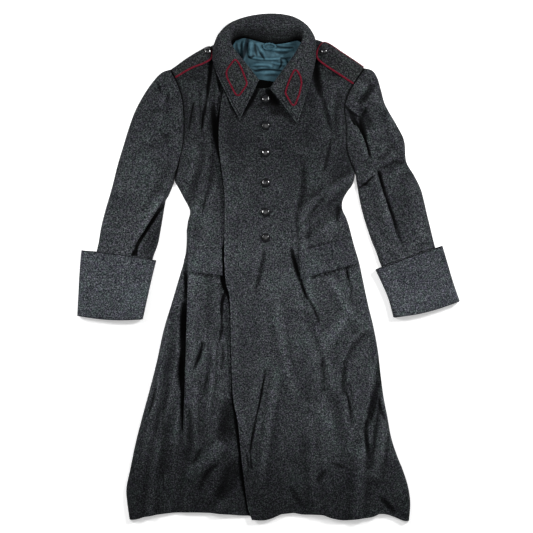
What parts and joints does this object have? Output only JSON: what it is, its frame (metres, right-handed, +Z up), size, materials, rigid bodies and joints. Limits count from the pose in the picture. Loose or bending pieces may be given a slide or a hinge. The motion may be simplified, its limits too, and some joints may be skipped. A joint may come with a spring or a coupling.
{
  "type": "military greatcoat",
  "caption": "Long single-breasted wool greatcoat laid flat on its back, buttoned, with a fall collar, piped collar tabs, shoulder boards, pocket flaps and turned-back cuffs.",
  "frame": {"origin": "middle of the laid-out coat's box, on the surface that it lies on", "axes": "+Y from the hem towards the collar, +X towards the wearer's left sleeve, +Z up out of the coat's front"},
  "size_m": [0.9338, 1.238, 0.0483],
  "materials": {
    "wool": "milled melton wool, charcoal melange",
    "trim_wool": "milled wool, greener grey melange",
    "piping": "crimson wool piping",
    "lining": "grey-blue cotton, plain weave",
    "button": "dark, polished dome"
  },
  "bodies": {
    "root": {"back": "wool", "front_right": "wool", "front_left": "wool", "sleeve_upper_right": "wool", "sleeve_under_right": "wool", "sleeve_upper_left": "wool", "sleeve_under_left": "wool", "cuff_right": "wool", "cuff_left": "wool", "pocket_flap_right": "wool", "pocket_flap_left": "wool", "collar": "wool", "collar_tab_right": "trim_wool", "collar_tab_left": "trim_wool", "shoulder_board_right": "trim_wool", "shoulder_board_left": "trim_wool", "tab_piping_right": "piping", "tab_piping_left": "piping", "board_piping_right": "piping", "board_piping_left": "piping", "back_lining": "lining", "hanger_loop": "lining", "front_button_1": "button", "front_button_2": "button", "front_button_3": "button", "front_button_4": "button", "front_button_5": "button", "front_button_6": "button", "board_button_right": "button", "board_button_left": "button"}
  },
  "joints": []
}
